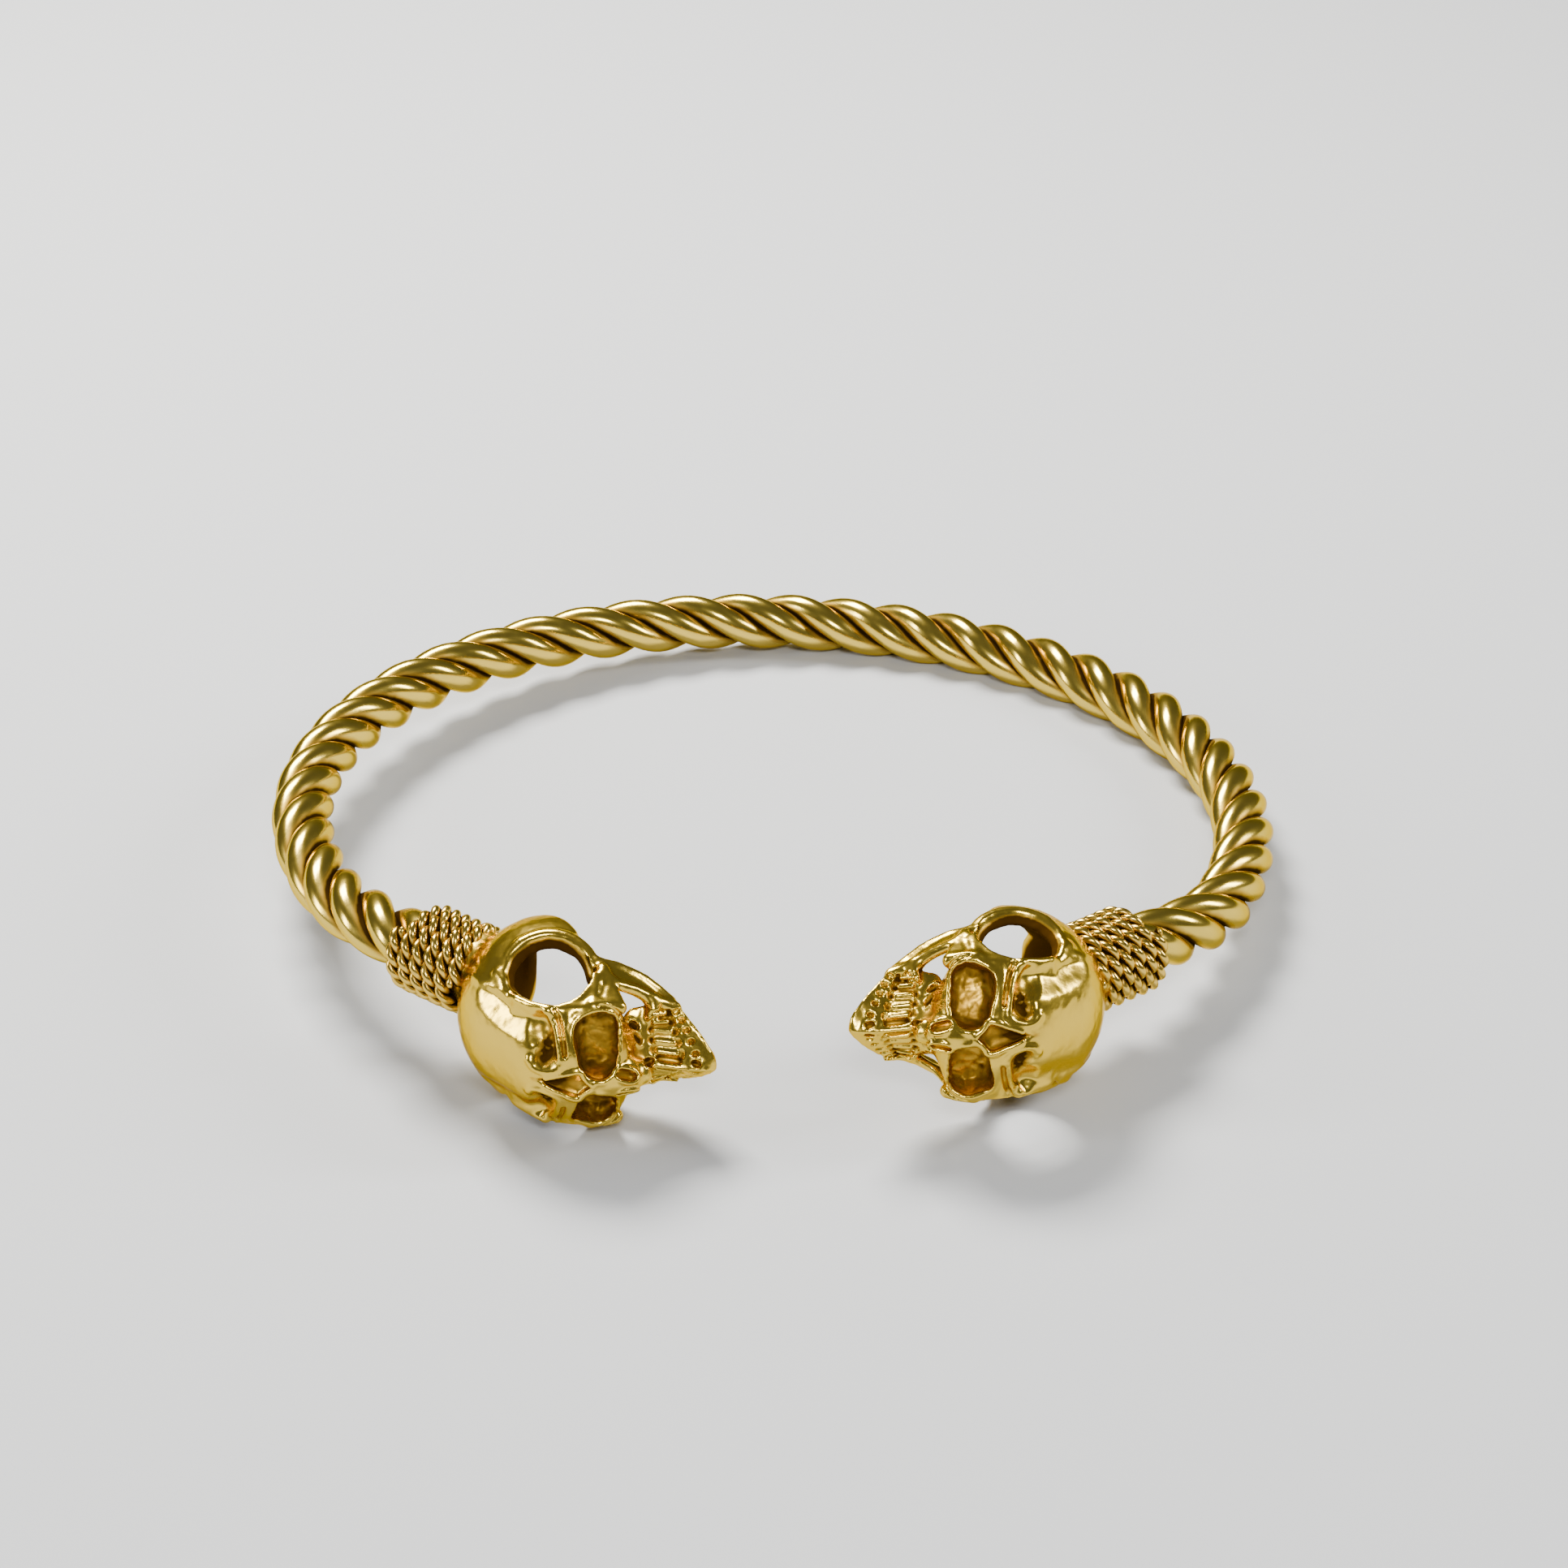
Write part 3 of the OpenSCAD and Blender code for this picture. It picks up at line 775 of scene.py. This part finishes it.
def floor_of(outline, faces, depth, x, y, z, from_rim):
    """1 on the floor and walls of a sunk outline, 0 outside it."""
    n = unit(np.array(faces, float))
    mid = np.array(outline).mean(0)
    down = -((x - mid[0]) * n[0] + (y - mid[1]) * n[1] + (z - mid[2]) * n[2])
    wall = prism(outline, faces, depth)(x, y, z)
    return np.clip(down / from_rim, 0, 1) * np.clip((0.2 - wall) / 0.1, 0, 1)


def sampled(values, points):
    """Values of a grid at points between its nodes."""
    base = np.clip(points.astype(int), 0, np.array(values.shape) - 2)
    part = points - base
    total = np.zeros(len(points))
    for corner in range(8):
        bits = np.array([corner & 1, corner >> 1 & 1, corner >> 2 & 1])
        weight = np.prod(np.where(bits, part, 1 - part), axis=1)
        total += weight * values[tuple((base + bits).T)]
    return total


def bent(xyz):
    """The casting isn't even: its chin is bent a little to one side, and its lower plate lies further in."""
    x, y, z = xyz.T
    half = np.interp(x, [row[0] for row in JAW], [row[1] for row in JAW])
    aside = 0.32 * ease((x - 12.8) / 3.5) * np.clip(1 - np.abs(y) / half, 0, 1)
    plate = ease((x - 9.9) / 1.2) * ease((14.6 - x) / 1.6) * ease((1.5 - z) / 1.2) * ease((-y - 1.6) / 1.6)
    return np.stack([x, (y - aside) * (1 - 0.2 * plate), z], -1)


# The solder's two ends in the skull's frame, and its radius at each
CROWN_SOLDER, CROWN_SOLDER_R = ((0.9, 1.0, -0.52), (-0.95, 1.05, -0.78)), (2.55, 2.15)


def skull_mesh():
    """Points in mm and quads of the whole skull, and the attribute of painted shade and patina at each point."""
    half = skull_field()
    d = np.concatenate([half[:, :0:-1], half], 1)
    # The solder between the crown and the wire wound round the rope, kept out of the hollow
    x, y, z = GX[:, None, None], np.concatenate([-GY[:0:-1], GY])[None, :, None], GZ[None, None, :]
    solder = chain(CROWN_SOLDER, CROWN_SOLDER_R)(x, y, z) + 0.06 * rough(x, y, z, 0.9)
    d = smooth_min(d, smooth_max(solder, 5.3 - ball(DOME_AT, 0)(x, y, z), 0.3), 0.5)
    points, quads = surface(d)
    origin = np.array([GX[0], -GY[-1], GZ[0]])
    # How much metal is round each point, close by and further off: more of it in a groove than on a ridge. It sets
    # how much shade is painted into the grooves.
    solid = (d < 0).astype(np.float32)
    near = sampled(box_blur(box_blur(solid, 2), 3), points)
    far = sampled(box_blur(box_blur(solid, 7), 6), points)
    xyz = bent(points * STEP + origin)
    from_middle = np.linalg.norm(xyz - DOME_AT, axis=1)
    # Painted shade with patina: dark in grooves, inside the hollow, round the side hole and in the sunk frown;
    # even and amber on the sockets' floors, their own colour
    hollow = np.clip((5.7 - from_middle) / 0.4, 0, 1)
    x, y, z = xyz[:, 0], np.abs(xyz[:, 1]), xyz[:, 2]
    in_socket = floor_of(SOCKET, SOCKET_FACES, SOCKET_DEPTH, x, y, z, 0.5)
    in_frown = floor_of(kite_outline(), FROWN_FACES, FROWN_DEPTH, x, xyz[:, 1], z, 0.15)
    shade_and_patina = np.clip((near - 0.53) * 3.2, 0, 1) + np.clip((far - 0.42) * 1.6, 0, 0.5) + hollow
    # Painted shade on the side hole's walls, darkest towards the crown
    r = hole_place(x, y, z)[0]
    tunnel_shade = np.clip((3.2 - r) / 0.2, 0, 1) * np.clip((5.85 - from_middle) / 0.25, 0, 1) * (y > 1.5)
    shade_and_patina = np.minimum(shade_and_patina + 0.36 * in_socket, 1 - 0.3 * in_socket)
    shade_and_patina = shade_and_patina + 0.16 * in_socket * rough(x, y, z, 0.6) + 0.3 * in_frown + 0.5 * brow_patch(x, y) * (z > 4)
    shade_and_patina = shade_and_patina + tunnel_shade * (0.4 + 0.6 * np.clip((7.8 - x) / 1.2, 0, 1))
    return xyz, quads, np.clip(shade_and_patina, 0, 1)


# ---- Materials
# Value of painted shade and patina at which the gold starts to darken, has its middle colour and is dark
RAMP = (0.12, 0.5, 0.88)
# The middle colour: shares of the bright and of the dark one, and its warmer tint
MIDDLE_SHARES, MIDDLE_TINT = (0.55, 0.45), (1.04, 0.86, 0.6)
SHEEN = (0.85, 0.68, 0.3, 1)
# How uneven the darkening is, and how much rougher the dark metal is
BLOTCHES, ROUGHER = 0.5, 0.35
# Value of painted shade and patina from which the metal turns dull, and how metallic it is where it is dark
DULL_FROM, DULL_METALLIC = 0.45, 0.2


def fill_inputs(links, node, inputs):
    """Each input of a shader node gets a value or is linked to another node's output."""
    for key, value in inputs.items():
        if isinstance(value, bpy.types.NodeSocket):
            links.new(value, node.inputs[key])
        else:
            node.inputs[key].default_value = value


def gold(name, bright, dark, roughness, bump=0.02, scale=900.0):
    """Polished gold that turns dark brown, rougher and less metallic where the attribute of painted shade and
    patina is high.
    """
    m = bpy.data.materials.new(name)
    m.use_nodes = True
    nodes, links = m.node_tree.nodes, m.node_tree.links

    def output_of(kind, output, inputs):
        """The output of a new shader node with these inputs."""
        new = nodes.new("ShaderNode" + kind)
        fill_inputs(links, new, inputs)
        return new.outputs[output]

    place = output_of("TexCoord", "Object", {})
    shade_and_patina = output_of("Attribute", "Fac", {})
    shade_and_patina.node.attribute_name = "shade_and_patina"
    blotch = output_of("TexNoise", "Fac", {"Vector": place, "Scale": scale, "Detail": 5})
    uneven = output_of("Math", 0, {0: blotch, 1: BLOTCHES, 2: -BLOTCHES / 2})
    uneven.node.operation = "MULTIPLY_ADD"
    total = output_of("Math", 0, {0: shade_and_patina, 1: uneven})
    total.node.operation, total.node.use_clamp = "ADD", True
    colour = output_of("ValToRGB", "Color", {"Fac": total})
    ramp = colour.node.color_ramp
    ramp.elements[0].position, ramp.elements[1].position = RAMP[0], RAMP[2]
    ramp.elements[0].color, ramp.elements[1].color = (*bright, 1), (*dark, 1)
    mixed = [(b * MIDDLE_SHARES[0] + d * MIDDLE_SHARES[1]) * warm for b, d, warm in zip(bright, dark, MIDDLE_TINT)]
    ramp.elements.new(RAMP[1]).color = (*mixed, 1)
    gloss = output_of("MapRange", "Result", {"Value": total, "To Min": roughness, "To Max": roughness + ROUGHER})
    dull = output_of("MapRange", "Result", {"Value": total, "From Min": DULL_FROM, "From Max": 1.0,
                                            "To Min": 1, "To Max": DULL_METALLIC})
    grain = output_of("TexNoise", "Fac", {"Vector": place, "Scale": scale * 2.2, "Detail": 3})
    relief = output_of("Bump", "Normal", {"Height": grain, "Strength": bump * 10, "Distance": bump * MM})
    fill_inputs(links, nodes["Principled BSDF"], {
        "Base Color": colour, "Roughness": gloss, "Metallic": dull, "Normal": relief,
        "Specular IOR Level": 0, "Specular Tint": SHEEN})
    return m


rope_gold = gold("rope_gold", (0.72, 0.52, 0.085), (0.03, 0.014, 0.003), 0.18)
wire_gold = gold("wire_gold", (0.74, 0.5, 0.09), (0.02, 0.009, 0.002), 0.2)
cast_gold = gold("cast_gold", (0.72, 0.49, 0.06), (0.05, 0.022, 0.003), 0.2, 0.045, 700.0)

for k in range(3):
    strand(k, rope_gold)
for i in range(2):
    binding(i, wire_gold)
skull_points, skull_quads, skull_recess = skull_mesh()
for i in range(2):
    quads = skull_quads[:, ::-1] if i else skull_quads
    mesh_object(("skull_cast_left", "skull_cast_right")[i], lying(placed(skull_points, i)), quads,
                cast_gold, [("skull_left", "skull_right")[i]], skull_recess)


# ---- Floor and soft studio light
def floor(half_width):
    data = bpy.data.meshes.new("floor")
    corners = [(x * half_width, y * half_width, 0) for x, y in ((-1, -1), (1, -1), (1, 1), (-1, 1))]
    data.from_pydata(corners, [], [(0, 1, 2, 3)])
    m = bpy.data.materials.new("floor")
    m.use_nodes = True
    shader = m.node_tree.nodes["Principled BSDF"]
    shader.inputs["Base Color"].default_value = (0.5, 0.51, 0.52, 1)
    shader.inputs["Roughness"].default_value = 0.75
    data.materials.append(m)
    o = bpy.data.objects.new("floor", data)
    scene.collection.objects.link(o)


def light(name, place, size, watts, color=(1, 1, 1)):
    """A rectangular area light that faces the middle of the floor."""
    data = bpy.data.lights.new(name, "AREA")
    data.shape, data.size, data.size_y = "RECTANGLE", size[0], size[1]
    data.energy, data.color = watts, color
    o = bpy.data.objects.new(name, data)
    o.location = place
    o.rotation_euler = (-Vector(place)).to_track_quat("-Z", "Y").to_euler()
    scene.collection.objects.link(o)


floor(1.5)
light("key", (-0.1, 0.2, 0.3), (0.16, 0.12), 4.2, (1, 0.97, 0.92))
light("front", (0.02, -0.34, 0.3), (0.12, 0.08), 1.3)
light("side", (0.34, 0.0, 0.2), (0.08, 0.16), 1.2)
light("left", (-0.34, -0.08, 0.16), (0.06, 0.16), 0.7)
world = bpy.data.worlds.new("world")
scene.world = world
world.use_nodes = True
background = world.node_tree.nodes["Background"]
background.inputs["Color"].default_value = (0.8, 0.84, 0.9, 1)
background.inputs["Strength"].default_value = 0.16
